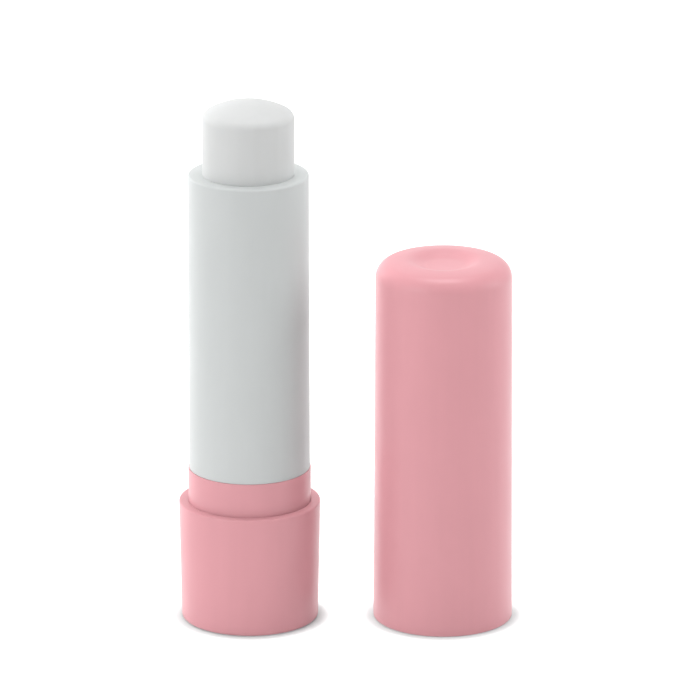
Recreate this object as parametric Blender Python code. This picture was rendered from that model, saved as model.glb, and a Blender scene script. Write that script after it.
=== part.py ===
# Lip balm stick shown open: the stick stands upright and its cap stands beside it on its mouth.
# Seven pieces: base shell, collar, spindle, barrel, carrier, balm and cap.
# Units are metres and +Z is up. The origin is the centre of the base's underside, on the stick's axis.
# The collar and the spindle are fixed in the base shell. The barrel turns in the collar, its ribs
# turn the carrier with it, and the carrier's nut climbs the spindle's right-hand thread.

import math

import bmesh
import bpy
from mathutils import Matrix

# Clearances
FIT_GAP = 0.0003            # between a piece and the piece that it is pressed into or rests on
RUN_GAP = 0.00025           # between the carrier and the barrel's bore and ribs
BEARING_GAP = 0.0003        # round the barrel's neck and the spindle's journal
JOINT_GAP = 0.0002          # the line between the collar and the barrel
BALM_GAP = 0.00018          # between the balm and the bore
CAP_GAP = 0.0003            # between the collar and the cap's mouth
CUT_OVERRUN = 0.001         # how far a cutter reaches past what it cuts

# Base shell, a plain drafted cup
BASE_HEIGHT = 0.0171
BASE_RIM_RADIUS = 0.00985
BASE_DRAFT = 0.00032        # how much smaller the foot's radius is than the rim's
BASE_WALL = 0.00101
BASE_FLOOR = 0.0014
BASE_RIM_ROUND = 0.00025
BASE_FOOT_ROUND = 0.00045

# Collar, pressed into the base shell, with the barrel's bearing and the spindle's socket
COLLAR_RISE = 0.0048
COLLAR_WALL = 0.00085
COLLAR_FLOOR = 0.0015
COLLAR_ROUND = 0.00015
HUB_HEIGHT = 0.003
HUB_WALL = 0.0014

# Spindle
FOOT_RADIUS = 0.0034        # across the corners of the six-sided foot
FOOT_SIDES = 6
SOCKET_FLOOR = 0.0007
FLANGE_HEIGHT = 0.001
SNAP_REACH = 0.0003         # how far the snap bead stands over the edge of the barrel's hole
SNAP_HEIGHT = 0.0008
CORE_RADIUS = 0.0022
THREAD_RADIUS = 0.0029
THREAD_LEAD = 0.004         # how far the carrier moves in one turn
THREAD_ROOT_HALF = 0.00095  # half the thread's width at the core
THREAD_CREST_HALF = 0.00045
THREAD_GAP = 0.0003
THREAD_SINK = 0.0004        # how deep the ridge is set into the core that it is joined to
SPINDLE_TIP = 0.0008        # height of the tapered tip
NUT_GRIP = 0.0072           # how much of the spindle is in the nut with the carrier wound right up

# Barrel
BARREL_LENGTH = 0.0422
BARREL_STEP = 0.00012       # how far the collar stands proud of the barrel
BARREL_DRAFT = 0.00007      # how much smaller the rim's radius is than the foot's
BARREL_WALL = 0.0018        # at the rim
BARREL_FLOOR = 0.0012
BARREL_RIM_ROUND = 0.0003
BARREL_LIP_ROUND = 0.00018
NECK_CHAMFER = 0.0004
RIB_COUNT = 4
RIB_WIDTH = 0.0012
RIB_HEIGHT = 0.0006
RIB_GRIP = 0.0025           # how much of a rib is in its notch with the carrier wound right up

# Carrier
CARRIER_HEIGHT = 0.0155
CARRIER_STOP = 0.0005       # from the rim down to the carrier, wound right up
CUP_SHARE = 0.432           # how far out the cup's wall starts, on the way from the nut to the bore
CUP_DEPTH = 0.005
CUP_FLOOR = 0.0012
CUP_ROUND = 0.0003
NUT_WALL = 0.0009

# Balm
BALM_SHOWS = 0.01035        # from the rim up to the crown, as photographed
BALM_RECESS = 0.0018        # from the rim down to the crown, wound right down
BALM_EDGE_ROUND = 0.0015
BALM_CROWN_RADIUS = 0.0119

# Cap
CAP_ROOM = 0.00285          # above the barrel's rim when the cap is on
CAP_WALL = 0.00086
CAP_DRAFT = 0.00024         # how much smaller the radius is under the top's round edge
CAP_TOP_ROUND = 0.0024
CAP_MOUTH_ROUND = 0.00025
CAP_TOP_WALL = 0.0011
CAP_INNER_ROUND = 0.0015
DIMPLE_RADIUS = 0.0049
DIMPLE_DEPTH = 0.0006
GRIP_RIBS = 6
GRIP_LENGTH = 0.0038
GRIP_WIDTH = 0.0009
GRIP_GAP = 0.0001           # between the grip ribs and the collar when the cap is on
GRIP_START = 0.0008
CAP_APART = 0.00742         # from the base to the cap where they stand

# Smoothness of the round shapes
SEGMENTS = 64
ARC_STEPS = 3
CROWN_STEPS = 6
TOP_STEPS = 6
THREAD_STEPS = 20           # in one turn
HALF_STEP = math.pi / THREAD_STEPS  # keeps the corners of a threaded piece's core between the thread's
SHARP_ANGLE = math.radians(30)
MERGE = 0.000001

# Radii that follow from the sizes above, from the base shell inwards
BASE_FOOT_RADIUS = BASE_RIM_RADIUS - BASE_DRAFT
COLLAR_RADIUS = BASE_RIM_RADIUS - BASE_WALL - FIT_GAP
COLLAR_BORE = COLLAR_RADIUS - COLLAR_WALL
NECK_RADIUS = COLLAR_BORE - BEARING_GAP
BARREL_FOOT_RADIUS = COLLAR_RADIUS - BARREL_STEP
BARREL_RIM_RADIUS = BARREL_FOOT_RADIUS - BARREL_DRAFT
BORE_RADIUS = BARREL_RIM_RADIUS - BARREL_WALL
BALM_RADIUS = BORE_RADIUS - BALM_GAP
RIB_RADIUS = BORE_RADIUS - RIB_HEIGHT
GROOVE_RADIUS = RIB_RADIUS - RUN_GAP
GROOVE_WIDTH = RIB_WIDTH + RUN_GAP + RUN_GAP
CARRIER_RADIUS = BORE_RADIUS - RUN_GAP
BALM_BORE = THREAD_RADIUS + THREAD_GAP
NUT_RADIUS = BALM_BORE + NUT_WALL
CUP_RADIUS = NUT_RADIUS + (CARRIER_RADIUS - NUT_RADIUS) * CUP_SHARE
JOURNAL_RADIUS = THREAD_RADIUS
HOLE_RADIUS = JOURNAL_RADIUS + BEARING_GAP
SNAP_RADIUS = HOLE_RADIUS + SNAP_REACH
HUB_RADIUS = FOOT_RADIUS + FIT_GAP + HUB_WALL
CAP_BORE = COLLAR_RADIUS + CAP_GAP
CAP_MOUTH_RADIUS = CAP_BORE + CAP_WALL
CAP_SHOULDER_RADIUS = CAP_MOUTH_RADIUS - CAP_DRAFT

# Heights on the stick's axis, from the floor up
COLLAR_BOTTOM = BASE_FLOOR + FIT_GAP
COLLAR_TOP = BASE_HEIGHT + COLLAR_RISE
WEB_TOP = COLLAR_BOTTOM + COLLAR_FLOOR
HUB_TOP = WEB_TOP + HUB_HEIGHT
SOCKET_BOTTOM = COLLAR_BOTTOM + SOCKET_FLOOR
FLANGE_BOTTOM = HUB_TOP + FIT_GAP
FLANGE_TOP = FLANGE_BOTTOM + FLANGE_HEIGHT
NECK_BOTTOM = FLANGE_TOP + BEARING_GAP
BARREL_FLOOR_TOP = NECK_BOTTOM + BARREL_FLOOR
SNAP_BOTTOM = BARREL_FLOOR_TOP + BEARING_GAP
SNAP_TOP = SNAP_BOTTOM + SNAP_HEIGHT
BARREL_FOOT = COLLAR_TOP + JOINT_GAP
BARREL_RIM = BARREL_FOOT + BARREL_LENGTH
CARRIER_LOWEST = SNAP_TOP + RUN_GAP
CARRIER_REST = CARRIER_LOWEST + BALM_RECESS + BALM_SHOWS
CARRIER_HIGHEST = BARREL_RIM - CARRIER_STOP - CARRIER_HEIGHT
RIB_TOP = CARRIER_HIGHEST + RIB_GRIP
SPINDLE_TOP = CARRIER_HIGHEST + NUT_GRIP
CAP_INNER_TOP = BARREL_RIM + CAP_ROOM - BASE_HEIGHT
CAP_HEIGHT = CAP_INNER_TOP + CAP_TOP_WALL + DIMPLE_DEPTH
CAP_SPACING = BASE_RIM_RADIUS + CAP_APART + CAP_MOUTH_RADIUS


def clear_scene():
    for old in list(bpy.data.objects):
        bpy.data.objects.remove(old, do_unlink=True)


def make_material(name, colour, roughness):
    material = bpy.data.materials.new(name)
    material.use_nodes = True
    shader = material.node_tree.nodes["Principled BSDF"]
    shader.inputs["Base Color"].default_value = (*colour, 1)
    shader.inputs["Roughness"].default_value = roughness
    shader.inputs["Metallic"].default_value = 0
    material.diffuse_color = (*colour, 1)
    return material


def make_axis(name, x, z, parent=None):
    # An empty on a piece's axis, which carries the pieces that move with it
    axis = bpy.data.objects.new(name, None)
    bpy.context.scene.collection.objects.link(axis)
    axis.parent = parent
    axis.location = (x, 0, z)
    return axis


def make_object(name, shape, material, axis, height=0.0):
    mesh = bpy.data.meshes.new(name)
    shape.to_mesh(mesh)
    shape.free()
    mesh.shade_smooth()
    mesh.set_sharp_from_angle(angle=SHARP_ANGLE)
    if material:
        mesh.materials.append(material)
    piece = bpy.data.objects.new(name, mesh)
    bpy.context.scene.collection.objects.link(piece)
    piece.parent = axis
    piece.location = (0, 0, height)
    return piece


def arc(centre_radius, centre_height, radius, start, end, steps=ARC_STEPS):
    # Points of an outline on a round edge, from one angle to another in degrees
    points = []
    for step in range(steps + 1):
        angle = math.radians(start + (end - start) * step / steps)
        points.append((centre_radius + radius * math.cos(angle), centre_height + radius * math.sin(angle)))
    return points


def turned(outline, segments=SEGMENTS, start=0.0):
    # A solid turned about Z. An outline that starts on the axis ends there, any other closes as a ring.
    shape = bmesh.new()
    verts = [shape.verts.new((radius, 0, height)) for radius, height in outline]
    edges = [shape.edges.new(pair) for pair in zip(verts, verts[1:])]
    if outline[0][0] > 0:
        edges.append(shape.edges.new((verts[-1], verts[0])))
    bmesh.ops.spin(shape, geom=verts + edges, cent=(0, 0, 0), axis=(0, 0, 1),
                   angle=2 * math.pi, steps=segments, use_merge=True)
    bmesh.ops.remove_doubles(shape, verts=shape.verts, dist=MERGE)
    bmesh.ops.recalc_face_normals(shape, faces=shape.faces)
    bmesh.ops.rotate(shape, verts=shape.verts, cent=(0, 0, 0), matrix=Matrix.Rotation(start, 3, "Z"))
    return shape


def prism(sides, radius, bottom, top):
    shape = bmesh.new()
    bmesh.ops.create_cone(shape, cap_ends=True, segments=sides, radius1=radius, radius2=radius,
                          depth=top - bottom)
    bmesh.ops.translate(shape, verts=shape.verts, vec=(0, 0, (top + bottom) / 2))
    return shape


def bars_round_axis(count, inner, outer, width, bottom, top):
    # Upright bars spread evenly round the axis, starting between the X and Y axes
    shape = bmesh.new()
    for index in range(count):
        bar = bmesh.ops.create_cube(shape, size=1)["verts"]
        bmesh.ops.scale(shape, verts=bar, vec=(outer - inner, width, top - bottom))
        bmesh.ops.translate(shape, verts=bar, vec=((outer + inner) / 2, 0, (top + bottom) / 2))
        turn = Matrix.Rotation(2 * math.pi * (index + 0.5) / count, 3, "Z")
        bmesh.ops.rotate(shape, verts=bar, cent=(0, 0, 0), matrix=turn)
    return shape


def thread_half(radius):
    # Half the width of the spindle's thread at a radius, on its sloping flanks
    slope = (THREAD_ROOT_HALF - THREAD_CREST_HALF) / (THREAD_RADIUS - CORE_RADIUS)
    return THREAD_ROOT_HALF - (radius - CORE_RADIUS) * slope


def thread(inner, outer, gap, steps_before, steps_after):
    # A right-hand helical ridge, grown by a gap. It passes over +X at height 0, however far it
    # runs before and after that place, so two threads made round the same place are in mesh.
    shape = bmesh.new()
    rise = THREAD_LEAD / THREAD_STEPS
    turn = 2 * math.pi / THREAD_STEPS
    low = -steps_before * rise
    corners = [
        (inner, low - thread_half(inner) - gap),
        (outer, low - thread_half(outer) - gap),
        (outer, low + thread_half(outer) + gap),
        (inner, low + thread_half(inner) + gap),
    ]
    face = shape.faces.new([shape.verts.new((radius, 0, height)) for radius, height in corners])
    steps = steps_before + steps_after
    bmesh.ops.spin(shape, geom=[face], cent=(0, 0, 0), axis=(0, 0, 1), dvec=(0, 0, rise),
                   angle=turn * steps, steps=steps)
    bmesh.ops.holes_fill(shape, edges=[edge for edge in shape.edges if edge.is_boundary])
    start = Matrix.Rotation(-turn * steps_before, 3, "Z")
    bmesh.ops.rotate(shape, verts=shape.verts, cent=(0, 0, 0), matrix=start)
    bmesh.ops.recalc_face_normals(shape, faces=shape.faces)
    return shape


def thread_steps(height):
    # Whole steps of the thread that fit in a height
    return math.floor(height / THREAD_LEAD * THREAD_STEPS)


def use_tool(piece, tool, operation):
    tool.hide_render = True
    tool.display_type = "WIRE"
    boolean = piece.modifiers.new(tool.name, "BOOLEAN")
    boolean.operation = operation
    boolean.solver = "EXACT"
    boolean.object = tool


def shell_bore(height):
    # Radius inside the base shell at a height above the floor
    share = height / BASE_HEIGHT
    return BASE_FOOT_RADIUS + (BASE_RIM_RADIUS - BASE_FOOT_RADIUS) * share - BASE_WALL


def make_base_shell(axis, plastic):
    outline = [(0, 0)]
    outline += arc(BASE_FOOT_RADIUS - BASE_FOOT_ROUND, BASE_FOOT_ROUND, BASE_FOOT_ROUND, -90, 0)
    outline += arc(BASE_RIM_RADIUS - BASE_RIM_ROUND, BASE_HEIGHT - BASE_RIM_ROUND, BASE_RIM_ROUND, 0, 90)
    outline += [(shell_bore(BASE_HEIGHT), BASE_HEIGHT), (shell_bore(BASE_FLOOR), BASE_FLOOR), (0, BASE_FLOOR)]
    make_object("base_shell", turned(outline), plastic, axis)


def make_collar(axis, plastic):
    # Heights here are from the floor, so the object stays at the stick's origin
    outline = [
        (0, COLLAR_BOTTOM),
        (shell_bore(COLLAR_BOTTOM) - FIT_GAP, COLLAR_BOTTOM),
        (COLLAR_RADIUS, BASE_HEIGHT),
    ]
    outline += arc(COLLAR_RADIUS - COLLAR_ROUND, COLLAR_TOP - COLLAR_ROUND, COLLAR_ROUND, 0, 90, 2)
    outline += [
        (COLLAR_BORE, COLLAR_TOP),
        (COLLAR_BORE, WEB_TOP),
        (HUB_RADIUS, WEB_TOP),
        (HUB_RADIUS, HUB_TOP),
        (0, HUB_TOP),
    ]
    collar = make_object("collar", turned(outline), plastic, axis)
    socket = prism(FOOT_SIDES, FOOT_RADIUS + FIT_GAP, SOCKET_BOTTOM, HUB_TOP + CUT_OVERRUN)
    use_tool(collar, make_object("cut_socket", socket, None, axis), "DIFFERENCE")


def make_spindle(axis, plastic):
    outline = [
        (0, FLANGE_BOTTOM),
        (HUB_RADIUS, FLANGE_BOTTOM),
        (HUB_RADIUS, FLANGE_TOP),
        (JOURNAL_RADIUS, FLANGE_TOP),
        (JOURNAL_RADIUS, SNAP_BOTTOM),
        (SNAP_RADIUS, SNAP_BOTTOM),
        (SNAP_RADIUS, (SNAP_BOTTOM + SNAP_TOP) / 2),
        (JOURNAL_RADIUS, SNAP_TOP),
        (CORE_RADIUS, SNAP_TOP),
        (CORE_RADIUS, SPINDLE_TOP - SPINDLE_TIP),
        (CORE_RADIUS - SPINDLE_TIP / 2, SPINDLE_TOP),
        (0, SPINDLE_TOP),
    ]
    spindle = make_object("spindle", turned(outline, THREAD_STEPS, HALF_STEP), plastic, axis)
    foot = prism(FOOT_SIDES, FOOT_RADIUS, SOCKET_BOTTOM + FIT_GAP, (FLANGE_BOTTOM + FLANGE_TOP) / 2)
    use_tool(spindle, make_object("add_foot", foot, None, axis), "UNION")
    # The thread is counted from the carrier's foot at rest, where the nut's thread is cut too
    below = thread_steps(CARRIER_REST - SNAP_TOP - THREAD_ROOT_HALF)
    above = thread_steps(SPINDLE_TOP - SPINDLE_TIP - THREAD_ROOT_HALF - CARRIER_REST)
    ridge = thread(CORE_RADIUS - THREAD_SINK, THREAD_RADIUS, 0, below, above)
    use_tool(spindle, make_object("add_thread", ridge, None, axis, CARRIER_REST), "UNION")


def make_barrel(axis, plastic):
    # Heights here are from the barrel's foot, on the collar
    floor_bottom = NECK_BOTTOM - BARREL_FOOT
    floor_top = BARREL_FLOOR_TOP - BARREL_FOOT
    outline = [
        (HOLE_RADIUS, floor_bottom),
        (NECK_RADIUS - NECK_CHAMFER, floor_bottom),
        (NECK_RADIUS, floor_bottom + NECK_CHAMFER),
        (NECK_RADIUS, 0),
        (BARREL_FOOT_RADIUS, 0),
    ]
    outline += arc(BARREL_RIM_RADIUS - BARREL_RIM_ROUND, BARREL_LENGTH - BARREL_RIM_ROUND, BARREL_RIM_ROUND, 0, 90)
    outline += arc(BORE_RADIUS + BARREL_LIP_ROUND, BARREL_LENGTH - BARREL_LIP_ROUND, BARREL_LIP_ROUND, 90, 180, 2)
    outline += [(BORE_RADIUS, floor_top), (HOLE_RADIUS, floor_top)]
    barrel = make_object("barrel", turned(outline), plastic, axis)
    ribs = bars_round_axis(RIB_COUNT, RIB_RADIUS, (BORE_RADIUS + NECK_RADIUS) / 2, RIB_WIDTH,
                           (floor_bottom + floor_top) / 2, RIB_TOP - BARREL_FOOT)
    use_tool(barrel, make_object("add_ribs", ribs, None, axis), "UNION")


def make_carrier(axis, plastic):
    # Heights here are from the carrier's foot
    cup_floor = CARRIER_HEIGHT - CUP_DEPTH
    hollow_top = cup_floor - CUP_FLOOR
    outline = [
        (0, 0),
        (NUT_RADIUS, 0),
        (NUT_RADIUS, hollow_top),
        (CUP_RADIUS, hollow_top),
        (CUP_RADIUS, 0),
        (CARRIER_RADIUS, 0),
    ]
    round_edge = min(CUP_ROUND, (CARRIER_RADIUS - CUP_RADIUS) / 2)
    outline += arc(CARRIER_RADIUS - round_edge, CARRIER_HEIGHT - round_edge, round_edge, 0, 90, 2)
    outline += [(CUP_RADIUS, CARRIER_HEIGHT), (CUP_RADIUS, cup_floor), (0, cup_floor)]
    carrier = make_object("carrier", turned(outline), plastic, axis)
    notches = bars_round_axis(RIB_COUNT, GROOVE_RADIUS, BORE_RADIUS + CUT_OVERRUN, GROOVE_WIDTH,
                              -CUT_OVERRUN, CARRIER_HEIGHT + CUT_OVERRUN)
    use_tool(carrier, make_object("cut_notches", notches, None, axis), "DIFFERENCE")
    bore_radius = CORE_RADIUS + THREAD_GAP
    bore_low, bore_high = -CUT_OVERRUN, cup_floor + CUT_OVERRUN
    outline = [(0, bore_low), (bore_radius, bore_low), (bore_radius, bore_high), (0, bore_high)]
    bore = turned(outline, THREAD_STEPS, HALF_STEP)
    use_tool(carrier, make_object("cut_nut_bore", bore, None, axis), "DIFFERENCE")
    above = thread_steps(cup_floor + THREAD_LEAD)
    nut = thread(CORE_RADIUS, THREAD_RADIUS + THREAD_GAP, THREAD_GAP, THREAD_STEPS, above)
    use_tool(carrier, make_object("cut_nut_thread", nut, None, axis), "DIFFERENCE")


def make_balm(axis, wax):
    # Heights here are from the carrier's foot. The plug fills the cup and the rest fills the bore.
    crown = BARREL_RIM + BALM_SHOWS - CARRIER_REST
    crown_centre = crown - BALM_CROWN_RADIUS
    edge_centre_radius = BALM_RADIUS - BALM_EDGE_ROUND
    edge_rise = math.sqrt((BALM_CROWN_RADIUS - BALM_EDGE_ROUND) ** 2 - edge_centre_radius ** 2)
    edge_centre = crown_centre + edge_rise
    meet = math.degrees(math.atan2(edge_rise, edge_centre_radius))
    plug_bottom = CARRIER_HEIGHT - CUP_DEPTH + FIT_GAP
    bore_top = SPINDLE_TOP + FIT_GAP - CARRIER_LOWEST
    outline = [
        (0, bore_top),
        (CORE_RADIUS, bore_top),
        (BALM_BORE, bore_top - SPINDLE_TIP),
        (BALM_BORE, plug_bottom),
        (CUP_RADIUS - FIT_GAP, plug_bottom),
        (CUP_RADIUS - FIT_GAP, CARRIER_HEIGHT + FIT_GAP),
        (BALM_RADIUS, CARRIER_HEIGHT + FIT_GAP),
    ]
    outline += arc(edge_centre_radius, edge_centre, BALM_EDGE_ROUND, 0, meet)
    outline += arc(0, crown_centre, BALM_CROWN_RADIUS, meet, 90, CROWN_STEPS)[1:-1]
    outline += [(0, crown)]
    balm = make_object("balm", turned(outline), wax, axis)
    groove_top = RIB_TOP + RUN_GAP - CARRIER_LOWEST
    grooves = bars_round_axis(RIB_COUNT, GROOVE_RADIUS, BORE_RADIUS + CUT_OVERRUN, GROOVE_WIDTH,
                              CARRIER_HEIGHT - CUT_OVERRUN, groove_top)
    use_tool(balm, make_object("cut_grooves", grooves, None, axis), "DIFFERENCE")


def make_cap(axis, plastic):
    # Heights here are from the cap's mouth
    shoulder = CAP_HEIGHT - CAP_TOP_ROUND
    inner_centre_radius = CAP_SHOULDER_RADIUS - CAP_WALL - CAP_INNER_ROUND
    dimple_ball = (DIMPLE_RADIUS ** 2 + DIMPLE_DEPTH ** 2) / (2 * DIMPLE_DEPTH)
    dimple_angle = math.degrees(math.asin(DIMPLE_RADIUS / dimple_ball))
    outline = [(0, CAP_INNER_TOP)]
    outline += arc(inner_centre_radius, CAP_INNER_TOP - CAP_INNER_ROUND, CAP_INNER_ROUND, 90, 0)
    outline += [(CAP_BORE, 0)]
    outline += arc(CAP_MOUTH_RADIUS - CAP_MOUTH_ROUND, CAP_MOUTH_ROUND, CAP_MOUTH_ROUND, -90, 0, 2)
    outline += arc(CAP_SHOULDER_RADIUS - CAP_TOP_ROUND, shoulder, CAP_TOP_ROUND, 0, 90, TOP_STEPS)
    outline += arc(0, CAP_HEIGHT - DIMPLE_DEPTH + dimple_ball, dimple_ball, dimple_angle - 90, -90, CROWN_STEPS)[:-1]
    outline += [(0, CAP_HEIGHT - DIMPLE_DEPTH)]
    cap = make_object("cap", turned(outline), plastic, axis)
    ribs = bars_round_axis(GRIP_RIBS, COLLAR_RADIUS + GRIP_GAP, (CAP_BORE + CAP_MOUTH_RADIUS) / 2, GRIP_WIDTH,
                           GRIP_START, GRIP_START + GRIP_LENGTH)
    use_tool(cap, make_object("add_grip_ribs", ribs, None, axis), "UNION")


def build():
    clear_scene()
    pink = make_material("pink_plastic", (0.80, 0.33, 0.37), 0.32)
    white = make_material("white_plastic", (0.80, 0.81, 0.80), 0.38)
    natural = make_material("natural_plastic", (0.78, 0.77, 0.72), 0.45)
    wax = make_material("balm_wax", (0.86, 0.86, 0.84), 0.5)
    stick_axis = make_axis("stick_axis", 0, 0)
    barrel_axis = make_axis("barrel_axis", 0, BARREL_FOOT, stick_axis)
    carrier_axis = make_axis("carrier_axis", 0, CARRIER_REST - BARREL_FOOT, barrel_axis)
    cap_axis = make_axis("cap_axis", CAP_SPACING, 0)
    make_base_shell(stick_axis, pink)
    make_collar(stick_axis, pink)
    make_spindle(stick_axis, natural)
    make_barrel(barrel_axis, white)
    make_carrier(carrier_axis, natural)
    make_balm(carrier_axis, wax)
    make_cap(cap_axis, pink)


build()
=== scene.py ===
import math

import bmesh
import bpy
from mathutils import Euler, Matrix, Vector


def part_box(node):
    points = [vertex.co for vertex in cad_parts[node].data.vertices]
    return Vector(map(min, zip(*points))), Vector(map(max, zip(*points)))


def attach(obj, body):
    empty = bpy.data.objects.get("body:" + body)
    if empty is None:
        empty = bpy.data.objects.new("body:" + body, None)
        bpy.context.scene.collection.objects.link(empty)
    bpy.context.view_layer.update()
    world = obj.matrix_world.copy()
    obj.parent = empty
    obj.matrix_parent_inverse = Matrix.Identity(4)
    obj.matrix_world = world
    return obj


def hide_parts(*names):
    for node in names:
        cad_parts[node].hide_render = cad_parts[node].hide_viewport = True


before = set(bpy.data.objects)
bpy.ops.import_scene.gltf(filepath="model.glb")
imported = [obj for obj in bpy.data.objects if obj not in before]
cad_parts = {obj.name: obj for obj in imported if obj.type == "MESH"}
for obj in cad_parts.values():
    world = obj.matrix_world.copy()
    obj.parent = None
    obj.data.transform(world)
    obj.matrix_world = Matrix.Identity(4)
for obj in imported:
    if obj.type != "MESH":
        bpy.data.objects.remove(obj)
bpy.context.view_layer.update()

mm = 0.001
mergeGap = 0.0005 * mm  # points closer than this become one
overrun = 1 * mm        # how far a cut goes past its piece
sharpAngle = 28         # edges that turn further than this stay sharp, in degrees
roundSteps = 192        # round each turned piece
cornerSteps = 6         # on a small rounded corner
finestSteps = 3         # on the smallest rounded corners


def drawOutline(start, moves):
    # Draws in the XZ plane. A move of two numbers is a straight line to a radius and a height.
    # A move of four is an arc: its centre, how far it goes in degrees, and its steps.
    outline = bmesh.new()
    last = outline.verts.new((start[0], 0, start[1]))
    for move in moves:
        if len(move) == 2:
            last = bmesh.ops.extrude_vert_indiv(outline, verts=[last])["verts"][0]
            last.co = (move[0], 0, move[1])
        else:
            centreRadius, centreHeight, degrees, steps = move
            swept = bmesh.ops.spin(outline, geom=[last], cent=(centreRadius, 0, centreHeight),
                                   axis=(0, -1, 0), angle=math.radians(degrees), steps=steps)
            last = [part for part in swept["geom_last"] if isinstance(part, bmesh.types.BMVert)][0]
    return outline, last


def turnOutline(start, moves, closed=False):
    # Turns an outline about Z. A closed one is a ring, an open one starts and ends on the axis.
    shape, last = drawOutline(start, moves)
    shape.verts.ensure_lookup_table()
    if closed:
        shape.edges.new((last, shape.verts[0]))
    bmesh.ops.spin(shape, geom=shape.verts[:] + shape.edges[:], cent=(0, 0, 0), axis=(0, 0, 1),
                   angle=2 * math.pi, steps=roundSteps, use_merge=True)
    bmesh.ops.remove_doubles(shape, verts=shape.verts, dist=mergeGap)
    bmesh.ops.recalc_face_normals(shape, faces=shape.faces)
    return shape


def blocksRound(count, inner, outer, width, low, high, corner):
    # Upright blocks spread evenly round Z, the first halfway between two of the quarter lines
    shape = bmesh.new()
    for index in range(count):
        block = bmesh.ops.create_cube(shape, size=1)["verts"]
        bmesh.ops.scale(shape, verts=block, vec=(outer - inner, width, high - low))
        bmesh.ops.translate(shape, verts=block, vec=((outer + inner) / 2, 0, (high + low) / 2))
        turn = Matrix.Rotation(2 * math.pi * (index + 0.5) / count, 3, "Z")
        bmesh.ops.rotate(shape, verts=block, cent=(0, 0, 0), matrix=turn)
    bmesh.ops.bevel(shape, geom=shape.edges[:], offset=corner, offset_type="OFFSET", affect="EDGES",
                    segments=finestSteps, profile=0.5, material=-1)
    return shape


def addObject(name, shape, centre=0.0):
    # Puts a finished shape in the scene, with its axis moved along X where it has one of its own
    bmesh.ops.translate(shape, verts=shape.verts, vec=(centre, 0, 0))
    mesh = bpy.data.meshes.new(name)
    shape.to_mesh(mesh)
    shape.free()
    piece = bpy.data.objects.new(name, mesh)
    bpy.context.scene.collection.objects.link(piece)
    return piece


def cutOrJoin(piece, shape, operation, centre=0.0):
    # A Boolean that is made part of the mesh straight away
    tool = addObject(piece.name + "_tool", shape, centre)
    change = piece.modifiers.new("change", "BOOLEAN")
    change.operation = operation
    change.solver = "EXACT"
    change.object = tool
    bpy.context.view_layer.update()
    evaluated = piece.evaluated_get(bpy.context.evaluated_depsgraph_get())
    result = bpy.data.meshes.new_from_object(evaluated)
    piece.modifiers.clear()
    piece.data = result
    bpy.data.objects.remove(tool, do_unlink=True)


def finishPiece(piece, material, body, node):
    # Cleans the mesh, gives it its material, ties the piece to its body and hides the CAD node it stands in
    # for
    tidy = bmesh.new()
    tidy.from_mesh(piece.data)
    bmesh.ops.remove_doubles(tidy, verts=tidy.verts, dist=mergeGap)
    bmesh.ops.dissolve_degenerate(tidy, edges=tidy.edges, dist=mergeGap)
    tidy.to_mesh(piece.data)
    tidy.free()
    piece.data.name = piece.name
    piece.data.materials.clear()
    piece.data.materials.append(material)
    piece.data.shade_smooth()
    piece.data.set_sharp_from_angle(angle=math.radians(sharpAngle))
    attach(piece, body)
    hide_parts(node)


def newGroup(name, inputs, outputs):
    group = bpy.data.node_groups.new(name, "ShaderNodeTree")
    for label, kind, value in inputs:
        socket = group.interface.new_socket(label, in_out="INPUT", socket_type=kind)
        socket.default_value = value
    for label, kind in outputs:
        group.interface.new_socket(label, in_out="OUTPUT", socket_type=kind)
    return group, group.nodes.new("NodeGroupInput"), group.nodes.new("NodeGroupOutput")


def addNode(tree, kind, links=(), **settings):
    # links are (input, output socket) pairs, settings are the node's own options
    node = tree.nodes.new(kind)
    for option, value in settings.items():
        setattr(node, option, value)
    for socket, source in links:
        if isinstance(source, bpy.types.NodeSocket):
            tree.links.new(source, node.inputs[socket])
        else:
            node.inputs[socket].default_value = source
    return node


# Each pattern's stretch, features in a metre, detail, roughness and warp
patterns = {
    "sink": ((1, 1, 0.6), 160.0, 2.0, 0.4),
    "drawMark": ((1, 1, 0.02), 2600.0, 2.0, 0.6),
    "cloud": ((1, 1, 0.7), 110.0, 3.0, 0.5),
    "streak": ((1, 1, 0.05), 900.0, 2.0, 0.5),
    "smudge": ((1, 1, 1), 230.0, 4.0, 0.55, 0.6),
    "hairline": ((0.12, 0.12, 1.0), 5200.0, 2.0, 0.5, 0.3),
    "scuffPatch": ((1, 1, 1), 260.0, 2.0, 0.5),
    "rubbed": ((1, 1, 1), 900.0, 4.0, 0.6),
    "waxCloud": ((1, 1, 1), 420.0, 3.0, 0.5),
    "waxSwirl": ((1, 1, 0.5), 1500.0, 3.0, 0.55, 0.8),
}
# The two noise values between which a pattern goes from nothing to full
spans = {
    "cloud": (0.3, 0.7),
    "streak": (0.3, 0.7),
    "smudge": (0.38, 0.68),
    "hairline": (0.66, 0.72),
    "scuffPatch": (0.55, 0.68),
    "rubbed": (0.42, 0.62),
    "waxCloud": (0.3, 0.7),
    "waxSwirl": (0.35, 0.65),
}


def noiseAt(tree, stretch, scale, detail, rough, warp=0.0):
    # Noise on the piece's own coordinates
    place = addNode(tree, "ShaderNodeTexCoord").outputs["Object"]
    mapped = addNode(tree, "ShaderNodeMapping", [("Vector", place), ("Scale", stretch)])
    noise = addNode(tree, "ShaderNodeTexNoise",
                    [("Vector", mapped.outputs[0]), ("Scale", scale), ("Detail", detail),
                     ("Roughness", rough), ("Distortion", warp)])
    return noise.outputs["Fac"]


def remap(tree, value, fromLow, fromHigh, toLow, toHigh):
    node = addNode(tree, "ShaderNodeMapRange",
                   [("Value", value), ("From Min", fromLow), ("From Max", fromHigh),
                    ("To Min", toLow), ("To Max", toHigh)])
    return node.outputs["Result"]


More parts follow.
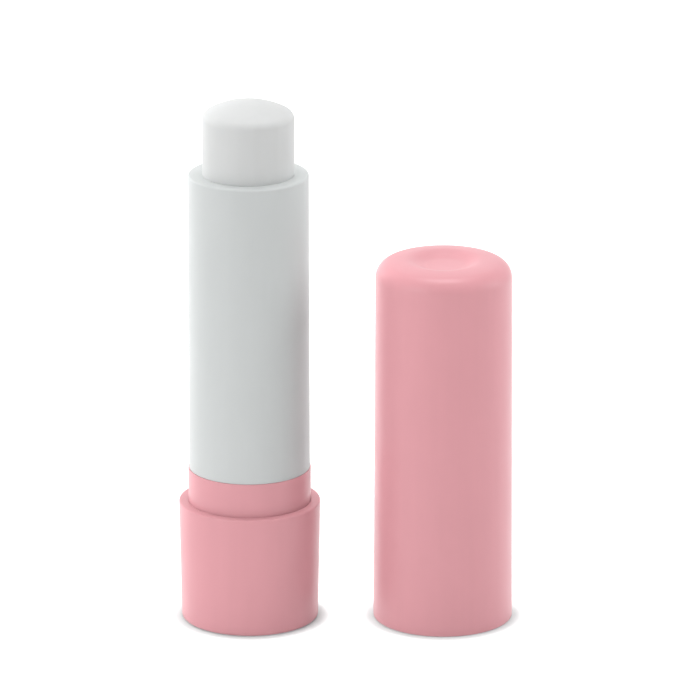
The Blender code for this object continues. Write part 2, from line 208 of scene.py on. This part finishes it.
def spread(tree, noise, pattern, low, high):
    # Stretches a pattern's noise over the range from low to high
    return remap(tree, noise, *spans[pattern], low, high)


def maths(tree, operation, first, second):
    return addNode(tree, "ShaderNodeMath", [(0, first), (1, second)], operation=operation).outputs[0]


def mouldedGrainGroup():
    # The height of a moulded surface: fine spark grain, soft sink, and draw marks along the axis
    group, given, out = newGroup(
        "mouldedGrain",
        [("Grain", "NodeSocketFloat", 9000.0), ("Grain Depth", "NodeSocketFloat", 0.35),
         ("Sink Depth", "NodeSocketFloat", 0.5), ("Draw Depth", "NodeSocketFloat", 0.2)],
        [("Height", "NodeSocketFloat")])
    fine = noiseAt(group, (1, 1, 1), given.outputs["Grain"], 2.0, 0.6)
    sink = noiseAt(group, *patterns["sink"])
    draw = noiseAt(group, *patterns["drawMark"])
    total = maths(group, "MULTIPLY", fine, given.outputs["Grain Depth"])
    for part, depth in ((sink, "Sink Depth"), (draw, "Draw Depth")):
        total = maths(group, "ADD", total, maths(group, "MULTIPLY", part, given.outputs[depth]))
    group.links.new(total, out.inputs["Height"])
    return group


def colourDriftGroup():
    # A colour that drifts a little lighter and darker, with faint flow streaks along the axis
    group, given, out = newGroup(
        "colourDrift",
        [("Color", "NodeSocketColor", (0.8, 0.8, 0.8, 1)), ("Amount", "NodeSocketFloat", 0.03)],
        [("Color", "NodeSocketColor")])
    cloud = spread(group, noiseAt(group, *patterns["cloud"]), "cloud", -1.0, 1.0)
    streak = spread(group, noiseAt(group, *patterns["streak"]), "streak", -0.5, 0.5)
    swing = maths(group, "MULTIPLY", maths(group, "ADD", cloud, streak), given.outputs["Amount"])
    value = maths(group, "ADD", swing, 1.0)
    shifted = addNode(group, "ShaderNodeHueSaturation", [("Color", given.outputs["Color"]), ("Value", value)])
    group.links.new(shifted.outputs["Color"], out.inputs["Color"])
    return group


def handlingGroup():
    # Roughness that changes where fingers have been, and hairline scuffs that run round the piece
    group, given, out = newGroup(
        "handling",
        [("Roughness", "NodeSocketFloat", 0.35), ("Smudge", "NodeSocketFloat", 0.06),
         ("Scuff", "NodeSocketFloat", 0.08)],
        [("Roughness", "NodeSocketFloat")])
    smudge = spread(group, noiseAt(group, *patterns["smudge"]), "smudge", -1.0, 1.0)
    thin = spread(group, noiseAt(group, *patterns["hairline"]), "hairline", 0.0, 1.0)
    where = spread(group, noiseAt(group, *patterns["scuffPatch"]), "scuffPatch", 0.0, 1.0)
    scuff = maths(group, "MULTIPLY", thin, where)
    rough = given.outputs["Roughness"]
    for mark, depth in ((smudge, "Smudge"), (scuff, "Scuff")):
        rough = maths(group, "ADD", rough, maths(group, "MULTIPLY", mark, given.outputs[depth]))
    group.links.new(rough, out.inputs["Roughness"])
    return group


def rimWearGroup():
    # A broken band at one height on the axis, for an edge that rubs
    group, given, out = newGroup(
        "rimWear",
        [("Level", "NodeSocketFloat", 0.0), ("Reach", "NodeSocketFloat", 0.0006)],
        [("Mask", "NodeSocketFloat")])
    place = addNode(group, "ShaderNodeTexCoord").outputs["Object"]
    height = addNode(group, "ShaderNodeSeparateXYZ", [("Vector", place)]).outputs["Z"]
    away = maths(group, "ABSOLUTE", maths(group, "SUBTRACT", height, given.outputs["Level"]), 0.0)
    near = maths(group, "SUBTRACT", 1.0, maths(group, "DIVIDE", away, given.outputs["Reach"]))
    broken = spread(group, noiseAt(group, *patterns["rubbed"]), "rubbed", 0.0, 1.0)
    mask = maths(group, "MULTIPLY", maths(group, "MAXIMUM", near, 0.0), broken)
    group.links.new(mask, out.inputs["Mask"])
    return group


grain = mouldedGrainGroup()
drift = colourDriftGroup()
handling = handlingGroup()
rimWear = rimWearGroup()


def useGroup(tree, group, **values):
    node = tree.nodes.new("ShaderNodeGroup")
    node.node_tree = group
    for label, value in values.items():
        socket = node.inputs[label.replace("_", " ")]
        if isinstance(value, bpy.types.NodeSocket):
            tree.links.new(value, socket)
        else:
            socket.default_value = value
    return node


def startMaterial(name, look):
    # A material with the look's plain values on its shader
    material = bpy.data.materials.new(name)
    material.use_nodes = True
    tree = material.node_tree
    shader = tree.nodes["Principled BSDF"]
    colour = (*look["colour"], 1)
    material.diffuse_color = colour
    shader.inputs["IOR"].default_value = look["ior"]
    shader.inputs["Specular IOR Level"].default_value = look["gloss"]
    shader.inputs["Subsurface Weight"].default_value = look["glow"]
    shader.inputs["Subsurface Radius"].default_value = look["glowRadius"]
    shader.inputs["Subsurface Scale"].default_value = look["glowDepth"]
    return material, tree, shader, colour


def addRelief(tree, shader, height, depth):
    bump = addNode(tree, "ShaderNodeBump", [("Height", height), ("Strength", 1.0), ("Distance", depth)])
    tree.links.new(bump.outputs["Normal"], shader.inputs["Normal"])


def mixColours(tree, share, first, second):
    mixed = addNode(tree, "ShaderNodeMix", [("Factor", share), (6, first), (7, (*second, 1))],
                    data_type="RGBA")
    return mixed.outputs[2]


def plasticMaterial(name, look, edges=()):
    # Injection-moulded plastic. edges are the heights of the edges that rub.
    material, tree, shader, colour = startMaterial(name, look)
    drifting = useGroup(tree, drift, Color=colour, Amount=look["drift"]).outputs["Color"]
    worn = useGroup(tree, handling, Roughness=look["roughness"], Smudge=look["smudge"], Scuff=look["scuff"])
    roughness = worn.outputs["Roughness"]
    for level in edges:
        mask = useGroup(tree, rimWear, Level=level, Reach=look["wearReach"]).outputs["Mask"]
        share = maths(tree, "MULTIPLY", mask, look["wear"])
        drifting = mixColours(tree, share, drifting, look["wearColour"])
        roughness = maths(tree, "ADD", roughness, maths(tree, "MULTIPLY", share, look["wearRough"]))
    bounced = addNode(tree, "ShaderNodeLightPath").outputs["Is Diffuse Ray"]
    seenColour = mixColours(tree, bounced, drifting, look["bounceColour"])
    tree.links.new(seenColour, shader.inputs["Base Color"])
    tree.links.new(roughness, shader.inputs["Roughness"])
    relief = useGroup(tree, grain, Grain=look["grain"], Grain_Depth=look["grainDepth"],
                      Sink_Depth=look["sinkDepth"], Draw_Depth=look["drawDepth"]).outputs["Height"]
    addRelief(tree, shader, relief, look["bump"])
    return material


def waxMaterial(name, look, smearTop):
    # Poured balm: cloudy, soft, with small pits and a faint film of smears on the crown
    material, tree, shader, colour = startMaterial(name, look)
    cloudy = useGroup(tree, drift, Color=colour, Amount=look["drift"]).outputs["Color"]
    tree.links.new(cloudy, shader.inputs["Base Color"])
    soft = noiseAt(tree, *patterns["waxCloud"])
    swirl = noiseAt(tree, *patterns["waxSwirl"])
    place = addNode(tree, "ShaderNodeTexCoord").outputs["Object"]
    pits = addNode(tree, "ShaderNodeTexVoronoi",
                   [("Vector", place), ("Scale", look["pits"]), ("Randomness", 1.0)])
    pit = remap(tree, pits.outputs["Distance"], 0.0, look["pitWidth"], -1.0, 0.0)
    height = addNode(tree, "ShaderNodeSeparateXYZ", [("Vector", place)]).outputs["Z"]
    crown = remap(tree, height, smearTop - look["smearFrom"], smearTop - look["smearFull"], 0.0, 1.0)
    smear = maths(tree, "MULTIPLY", spread(tree, swirl, "waxSwirl", -1.0, 1.0), crown)
    rough = spread(tree, soft, "waxCloud", look["roughness"] - look["smudge"],
                   look["roughness"] + look["smudge"])
    rough = maths(tree, "ADD", rough, maths(tree, "MULTIPLY", smear, look["smear"]))
    tree.links.new(rough, shader.inputs["Roughness"])
    relief = soft
    for mark, depth in ((swirl, "swirlDepth"), (pit, "pitDepth"), (smear, "smearDepth")):
        relief = maths(tree, "ADD", relief, maths(tree, "MULTIPLY", mark, look[depth]))
    addRelief(tree, shader, relief, look["bump"])
    return material


print("tools and node groups ready")

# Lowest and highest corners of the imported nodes
baseLow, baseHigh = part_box("base_shell")
collarLow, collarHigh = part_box("collar")
barrelLow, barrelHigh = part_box("barrel")
balmLow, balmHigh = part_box("balm")
capLow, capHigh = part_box("cap")
capAxis = (capLow.x + capHigh.x) / 2

# gloss is the specular level, glow the light that goes under the skin, and scales count in a metre
pinkLook = {
    "colour": (0.885, 0.410, 0.452),
    "bounceColour": (0.62, 0.54, 0.55),     # what it throws on its neighbours
    "roughness": 0.33, "smudge": 0.03, "scuff": 0.04,
    "ior": 1.49, "gloss": 0.28, "glow": 0.0, "glowRadius": (1.0, 0.35, 0.3), "glowDepth": 0.4 * mm,
    "drift": 0.012,
    "wear": 0.05, "wearReach": 0.5 * mm, "wearRough": 0.4, "wearColour": (0.88, 0.50, 0.53),
    "grain": 9000.0, "grainDepth": 0.15, "sinkDepth": 0.3, "drawDepth": 0.1, "bump": 0.012 * mm,
}
whiteLook = {
    "colour": (0.722, 0.747, 0.743),
    "bounceColour": (0.722, 0.747, 0.743),
    "roughness": 0.38, "smudge": 0.03, "scuff": 0.04,
    "ior": 1.49, "gloss": 0.18, "glow": 0.0, "glowRadius": (1.0, 0.9, 0.8), "glowDepth": 0.5 * mm,
    "drift": 0.010,
    "wear": 0.05, "wearReach": 0.5 * mm, "wearRough": 0.4, "wearColour": (0.80, 0.81, 0.80),
    "grain": 9000.0, "grainDepth": 0.15, "sinkDepth": 0.3, "drawDepth": 0.1, "bump": 0.012 * mm,
}
naturalLook = {
    "colour": (0.78, 0.77, 0.72),
    "bounceColour": (0.78, 0.77, 0.72),
    "roughness": 0.45, "smudge": 0.05, "scuff": 0.05,
    "ior": 1.49, "gloss": 0.35, "glow": 0.15, "glowRadius": (1.0, 0.95, 0.8), "glowDepth": 0.8 * mm,
    "drift": 0.015,
    "grain": 7000.0, "grainDepth": 0.5, "sinkDepth": 0.6, "drawDepth": 0.3, "bump": 0.015 * mm,
}
waxLook = {
    "colour": (0.775, 0.785, 0.782),
    "roughness": 0.5, "smudge": 0.05, "smear": 0.04,
    "ior": 1.44, "gloss": 0.25, "glow": 0.25, "glowRadius": (1.0, 0.95, 0.9), "glowDepth": 1.2 * mm,
    "drift": 0.012,
    "pits": 700.0, "pitWidth": 0.16,
    "smearFrom": 3.5 * mm, "smearFull": 0.5 * mm,       # under the crown's top
    "swirlDepth": 0.25, "pitDepth": 0.35, "smearDepth": 0.1, "bump": 0.02 * mm,
}

pinkBase = plasticMaterial("pinkBase", pinkLook, [baseHigh.z, baseLow.z])
pinkCollar = plasticMaterial("pinkCollar", pinkLook, [collarHigh.z])
pinkCap = plasticMaterial("pinkCap", pinkLook, [capLow.z])
whiteBarrel = plasticMaterial("whiteBarrel", whiteLook, [barrelHigh.z])
naturalPlastic = plasticMaterial("naturalPlastic", naturalLook)
balmWax = waxMaterial("balmWax", waxLook, balmHigh.z)

print("materials ready")

base = {
    "draft": 0.32 * mm,
    "wall": 1.305 * mm,
    "floor": 1.4 * mm,
    "rimRound": 0.25 * mm,
    "innerRound": 0.1 * mm,
    "footRound": 0.45 * mm,
}


def makeBase():
    rim, height = baseHigh.x, baseHigh.z
    foot = rim - base["draft"]
    bore = rim - base["wall"]
    boreLow = bore - base["draft"] * (1 - base["floor"] / height)
    footRound, rimRound, innerRound = base["footRound"], base["rimRound"], base["innerRound"]
    moves = [
        (foot - footRound, 0),
        (foot - footRound, footRound, 90, cornerSteps),
        (rim, height - rimRound),
        (rim - rimRound, height - rimRound, 90, cornerSteps),
        (bore + innerRound, height),
        (bore + innerRound, height - innerRound, 90, finestSteps),
        (boreLow, base["floor"]),
        (0, base["floor"]),
    ]
    piece = addObject("pink_base", turnOutline((0, 0), moves))
    finishPiece(piece, pinkBase, "base", "base_shell")


makeBase()
print("base shell done")

collar = {
    "wall": 0.85 * mm,
    "floor": 1.5 * mm,
    "edgeRound": 0.08 * mm, "boreSteps": 4,
    "hub": 5.1 * mm,
    "hubHeight": 3.0 * mm,
    "socket": 3.7 * mm,         # from its axis to a corner
    "socketSides": 6,
    "socketFloor": 0.7 * mm,
}


def makeCollar():
    top, low, shoulder = collarHigh.z, collarLow.z, baseHigh.z
    outer = collarHigh.x
    lowRadius = outer - base["draft"] * (1 - low / shoulder)
    bore = outer - collar["wall"]
    web = low + collar["floor"]
    hubTop = web + collar["hubHeight"]
    edge = collar["edgeRound"]
    moves = [
        (lowRadius, low),
        (outer, shoulder),
        (outer, top - edge),
        (outer - edge, top - edge, 90, cornerSteps),
        (bore + edge, top),
        (bore + edge, top - edge, 90, collar["boreSteps"]),
        (bore, web),
        (collar["hub"], web),
        (collar["hub"], hubTop),
        (0, hubTop),
    ]
    piece = addObject("pink_collar", turnOutline((0, low), moves))
    socket = bmesh.new()
    depth = hubTop + overrun - (low + collar["socketFloor"])
    bmesh.ops.create_cone(socket, cap_ends=True, segments=collar["socketSides"], depth=depth,
                          radius1=collar["socket"], radius2=collar["socket"])
    bmesh.ops.translate(socket, verts=socket.verts, vec=(0, 0, hubTop + overrun - depth / 2))
    cutOrJoin(piece, socket, "DIFFERENCE")
    finishPiece(piece, pinkCollar, "base", "collar")


makeCollar()
print("collar done")

barrel = {
    "draft": 0.07 * mm,
    "wall": 1.978 * mm,
    "foot": 21.92 * mm,         # where it stands on the collar
    "neck": 7.39 * mm,
    "neckChamfer": 0.4 * mm,
    "floor": 1.2 * mm,
    "hole": 3.2 * mm,
    "rimRound": 0.3 * mm,
    "lipRound": 0.02 * mm,
    "footRound": 0.03 * mm,
    "ribs": 4, "ribWidth": 1.2 * mm, "ribHeight": 0.42 * mm, "ribTop": 50.8 * mm,
    "ribSink": 0.4 * mm, "ribRound": 0.12 * mm,         # how deep they stand in the wall, and their edges
}


def makeBarrel():
    low, top, footRadius = barrelLow.z, barrelHigh.z, barrelHigh.x
    rimRadius = footRadius - barrel["draft"]
    bore = rimRadius - barrel["wall"]
    floorTop = low + barrel["floor"]
    rim, lip, foot = barrel["rimRound"], barrel["lipRound"], barrel["footRound"]
    moves = [
        (barrel["neck"] - barrel["neckChamfer"], low),
        (barrel["neck"], low + barrel["neckChamfer"]),
        (barrel["neck"], barrel["foot"]),
        (footRadius - foot, barrel["foot"]),
        (footRadius - foot, barrel["foot"] + foot, 90, finestSteps),
        (rimRadius, top - rim),
        (rimRadius - rim, top - rim, 90, cornerSteps),
        (bore + lip, top),
        (bore + lip, top - lip, 90, cornerSteps),
        (bore, floorTop),
        (barrel["hole"], floorTop),
    ]
    piece = addObject("white_barrel", turnOutline((barrel["hole"], low), moves, closed=True))
    ribs = blocksRound(barrel["ribs"], bore - barrel["ribHeight"], bore + barrel["ribSink"],
                       barrel["ribWidth"], low + barrel["floor"] / 2, barrel["ribTop"], barrel["ribRound"])
    cutOrJoin(piece, ribs, "UNION")
    finishPiece(piece, whiteBarrel, "barrel", "barrel")


makeBarrel()
print("barrel done")

balm = {
    "edgeRound": 1.2 * mm, "edgeSteps": 10,
    "crownRadius": 11.9 * mm, "crownSteps": 20,
    "plug": 4.75 * mm,
    "plugDepth": 5.0 * mm,
    "bore": 3.2 * mm,
    "boreTip": 0.8 * mm,
    "boreDepth": 6.7 * mm,      # from the crown down to the top of the spindle's hole
    "grooves": 4, "grooveWidth": 1.7 * mm, "grooveDepth": 0.67 * mm, "grooveTop": 63.2 * mm,
    "grooveRound": 0.1 * mm,
}


def makeBalm():
    crown, low = balmHigh.z, balmLow.z
    radius = balmHigh.x
    edge, ball = balm["edgeRound"], balm["crownRadius"]
    edgeCentre = radius - edge
    rise = math.sqrt((ball - edge) ** 2 - edgeCentre ** 2)
    meet = math.degrees(math.atan2(rise, edgeCentre))
    shelf = low + balm["plugDepth"]
    boreTop = crown - balm["boreDepth"]
    moves = [
        (balm["bore"] - balm["boreTip"], boreTop),
        (balm["bore"], boreTop - balm["boreTip"]),
        (balm["bore"], low),
        (balm["plug"], low),
        (balm["plug"], shelf),
        (radius, shelf),
        (radius, crown - ball + rise),
        (edgeCentre, crown - ball + rise, meet, balm["edgeSteps"]),
        (0, crown - ball, 90 - meet, balm["crownSteps"]),
    ]
    piece = addObject("balm_stick", turnOutline((0, boreTop), moves))
    grooves = blocksRound(balm["grooves"], radius - balm["grooveDepth"], radius + overrun,
                          balm["grooveWidth"], shelf - overrun, balm["grooveTop"], balm["grooveRound"])
    cutOrJoin(piece, grooves, "DIFFERENCE")
    finishPiece(piece, balmWax, "carrier", "balm")


makeBalm()
print("balm done")

cap = {
    "wall": 0.86 * mm,
    "draft": 0.24 * mm,
    "topRound": 2.35 * mm, "topSteps": 16,
    "crown": 11.0, "crownSteps": 8,     # how far the top falls away at its edge, in degrees
    "crownRise": 0.15 * mm,     # the lip of the dimple above the flat top of the solid
    "mouthRound": 0.25 * mm,
    "mouthInnerRound": 0.12 * mm,
    "topWall": 1.1 * mm,
    "innerRound": 1.5 * mm,
    "dimple": 5.5 * mm, "dimpleFloor": 2.5 * mm, "dimpleDepth": 0.7 * mm, "dimpleSteps": 8,
    "ribs": 6, "ribReach": 0.2 * mm, "ribWidth": 0.9 * mm, "ribLow": 0.8 * mm, "ribLength": 3.8 * mm,
    "ribSink": 0.4 * mm, "ribRound": 0.1 * mm,
}


def makeCap():
    mouth, height = capHigh.y, capHigh.z
    bore = mouth - cap["wall"]
    shoulder = mouth - cap["draft"]
    topRound, mouthRound, mouthInner = cap["topRound"], cap["mouthRound"], cap["mouthInnerRound"]
    innerTop = height - cap["topWall"] - cap["dimpleDepth"]
    innerRadius = shoulder - cap["wall"]
    innerRound = cap["innerRound"]
    crown = math.radians(cap["crown"])
    lip = height + cap["crownRise"]
    dimple, floorRadius, depth = cap["dimple"], cap["dimpleFloor"], cap["dimpleDepth"]
    roundCentre = shoulder - topRound
    dome = (roundCentre + topRound * math.sin(crown) - dimple) / math.sin(crown)
    roundHeight = lip - dome * (1 - math.cos(crown)) - topRound * math.cos(crown)
    slope = 2 * math.atan2(depth, dimple - floorRadius)     # the dimple's side is two equal arcs
    bend = (dimple - floorRadius) / (2 * math.sin(slope))
    slopeAngle = math.degrees(slope)
    moves = [
        (innerRadius - innerRound, innerTop),
        (innerRadius - innerRound, innerTop - innerRound, -90, cornerSteps),
        (bore, mouthInner),
        (bore + mouthInner, mouthInner, 90, finestSteps),
        (mouth - mouthRound, 0),
        (mouth - mouthRound, mouthRound, 90, cornerSteps),
        (shoulder, roundHeight),
        (roundCentre, roundHeight, 90 - cap["crown"], cap["topSteps"]),
        (dimple, lip - dome, cap["crown"], cap["crownSteps"]),
        (dimple, lip - bend, slopeAngle, cap["dimpleSteps"]),
        (floorRadius, lip - depth + bend, -slopeAngle, cap["dimpleSteps"]),
        (0, lip - depth),
    ]
    piece = addObject("pink_cap", turnOutline((0, innerTop), moves), capAxis)
    ribs = blocksRound(cap["ribs"], bore - cap["ribReach"], bore + cap["ribSink"], cap["ribWidth"],
                       cap["ribLow"], cap["ribLow"] + cap["ribLength"], cap["ribRound"])
    cutOrJoin(piece, ribs, "UNION", capAxis)
    finishPiece(piece, pinkCap, "cap", "cap")


makeCap()
print("cap done")

# The carrier and the spindle keep their CAD meshes
for node in ("carrier", "spindle"):
    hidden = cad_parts[node]
    hidden.data.materials.clear()
    hidden.data.materials.append(naturalPlastic)

studio = {
    "floorSize": 8.0,
    "floorDrop": 0.01 * mm,     # how far it lies under the feet, so that a view from below shows them
    # Shorter rays than this pass through the floor and light the undersides, as all do inside the cap
    "floorSkin": 0.1 * mm,
    "floorColour": (0.9, 0.9, 0.9, 1),
    "floorLift": 0.6,           # white added where the camera, gloss or glass shows the floor
    # Painted contact shadow: near the pieces, occlusion darkens the floor's added white, as shade under an
    # edge. Its spread and its strength
    "paintedShadowReach": 1.9 * mm, "paintedShadowDepth": 4.0, "paintedShadowSamples": 16,
    "worldLight": 0.25,         # what falls on the object from all round
    "worldBelow": 0.7,          # what comes from below, to light the undersides
    "belowFrom": -0.05, "belowFull": -0.1,      # the heights on the unit sphere between which it sets in
    "worldSeen": 1.0,           # what the camera, gloss and glass show
    "aim": (0.013, 0.0, 0.035),
    "lampDistance": 1.6, "lampSize": 0.96,
    # Each lamp's turn from the camera's side towards the right and its height above the aim,
    # both in degrees, and its power
    "lamps": {
        "front": (-50, 14, 8.4),
        "left": (-136, 9, 17),
        "top": (180, 84, 15.5),
        "right": (92, 13, 8.2),
    },
    "noGlare": ["left"],        # lamps that gloss does not show
}


def seenDirectly(tree, path):
    # 1 where the camera, gloss or glass shows the background, 0 where it only lights the object
    return maths(tree, "MAXIMUM", path["Is Camera Ray"],
                 maths(tree, "MAXIMUM", path["Is Glossy Ray"], path["Is Transmission Ray"]))


def makeFloor():
    shape = bmesh.new()
    bmesh.ops.create_grid(shape, x_segments=1, y_segments=1, size=studio["floorSize"] / 2)
    bmesh.ops.translate(shape, verts=shape.verts, vec=(0, 0, -studio["floorDrop"]))
    floor = addObject("floor", shape)
    material = bpy.data.materials.new("floorWhite")
    material.use_nodes = True
    tree = material.node_tree
    tree.nodes.clear()
    path = addNode(tree, "ShaderNodeLightPath").outputs
    seen = seenDirectly(tree, path)
    # Painted contact shadow: occlusion near the pieces takes away the added white, darkening the floor under
    # and beside them
    contact =addNode(tree, "ShaderNodeAmbientOcclusion", [("Distance", studio["paintedShadowReach"])],
                      samples=studio["paintedShadowSamples"])
    paintedShadowShare = maths(tree, "POWER", contact.outputs["AO"], studio["paintedShadowDepth"])
    lift = maths(tree, "MULTIPLY", maths(tree, "MULTIPLY", seen, studio["floorLift"]), paintedShadowShare)
    paint = addNode(tree, "ShaderNodeBsdfDiffuse", [("Color", studio["floorColour"])])
    glow = addNode(tree, "ShaderNodeEmission", [("Color", (1, 1, 1, 1)), ("Strength", lift)])
    both = addNode(tree, "ShaderNodeAddShader", [(0, paint.outputs[0]), (1, glow.outputs[0])])
    below = addNode(tree, "ShaderNodeNewGeometry").outputs["Backfacing"]
    short = maths(tree, "LESS_THAN", path["Ray Length"], studio["floorSkin"])
    place = addNode(tree, "ShaderNodeTexCoord").outputs["Object"]
    capCentre = (capAxis, 0, -studio["floorDrop"])
    away = addNode(tree, "ShaderNodeVectorMath", [(0, place), (1, capCentre)],
                   operation="DISTANCE").outputs["Value"]
    underCap = maths(tree, "LESS_THAN", away, capHigh.y - cap["wall"])
    letThrough = maths(tree, "MULTIPLY", path["Is Diffuse Ray"], maths(tree, "MAXIMUM", short, underCap))
    gone = maths(tree, "MAXIMUM", below, letThrough)
    clear = addNode(tree, "ShaderNodeBsdfTransparent")
    mixed = addNode(tree, "ShaderNodeMixShader", [("Fac", gone), (1, both.outputs[0]), (2, clear.outputs[0])])
    addNode(tree, "ShaderNodeOutputMaterial", [("Surface", mixed.outputs[0])])
    floor.data.materials.append(material)


def makeWorld():
    world = bpy.data.worlds.new("studioWorld")
    bpy.context.scene.world = world
    world.use_nodes = True
    tree = world.node_tree
    tree.nodes.clear()
    path = addNode(tree, "ShaderNodeLightPath").outputs
    seen = seenDirectly(tree, path)
    direction = addNode(tree, "ShaderNodeTexCoord").outputs["Generated"]
    height = addNode(tree, "ShaderNodeSeparateXYZ", [("Vector", direction)]).outputs["Z"]
    light = remap(tree, height, studio["belowFrom"], studio["belowFull"],
                  studio["worldLight"], studio["worldBelow"])
    strength = addNode(tree, "ShaderNodeMix", [("Factor", seen), ("A", light), ("B", studio["worldSeen"])])
    sky = addNode(tree, "ShaderNodeBackground", [("Color", (1, 1, 1, 1)), ("Strength", strength.outputs[0])])
    addNode(tree, "ShaderNodeOutputWorld", [("Surface", sky.outputs[0])])


def makeLamp(name, turn, rise, power):
    data = bpy.data.lights.new(name + "_lamp", "AREA")
    data.shape = "SQUARE"
    data.size = studio["lampSize"]
    data.energy = power
    lamp = bpy.data.objects.new(name + "_lamp", data)
    bpy.context.scene.collection.objects.link(lamp)
    towards = Vector((0, -1, 0))
    towards.rotate(Euler((math.radians(-rise), 0, math.radians(turn))))
    lamp.location = Vector(studio["aim"]) + towards * studio["lampDistance"]
    lamp.rotation_euler = towards.to_track_quat("Z", "Y").to_euler()
    lamp.visible_glossy = name not in studio["noGlare"]


camera = {
    "target": (0.013989, 0.0, 0.038793),
    "distance": 1.10925,
    "pitch": 17.63,             # degrees down
    "lens": 411.4, "sensor": 36.0,      # both in millimetres
    "near": 0.05, "far": 50.0,
}


def makeCamera():
    data = bpy.data.cameras.new("camera")
    data.lens = camera["lens"]
    data.sensor_width = camera["sensor"]
    data.clip_start = camera["near"]
    data.clip_end = camera["far"]
    view = bpy.data.objects.new("camera", data)
    bpy.context.scene.collection.objects.link(view)
    pitch = math.radians(camera["pitch"])
    x, y, z = camera["target"]
    view.location = (x, y - camera["distance"] * math.cos(pitch), z + camera["distance"] * math.sin(pitch))
    view.rotation_euler = (math.pi / 2 - pitch, 0, 0)
    bpy.context.scene.camera = view


makeFloor()
makeWorld()
for lampName, settings in studio["lamps"].items():
    makeLamp(lampName, *settings)
makeCamera()
bpy.context.scene.view_settings.view_transform = "Standard"
print("studio done")
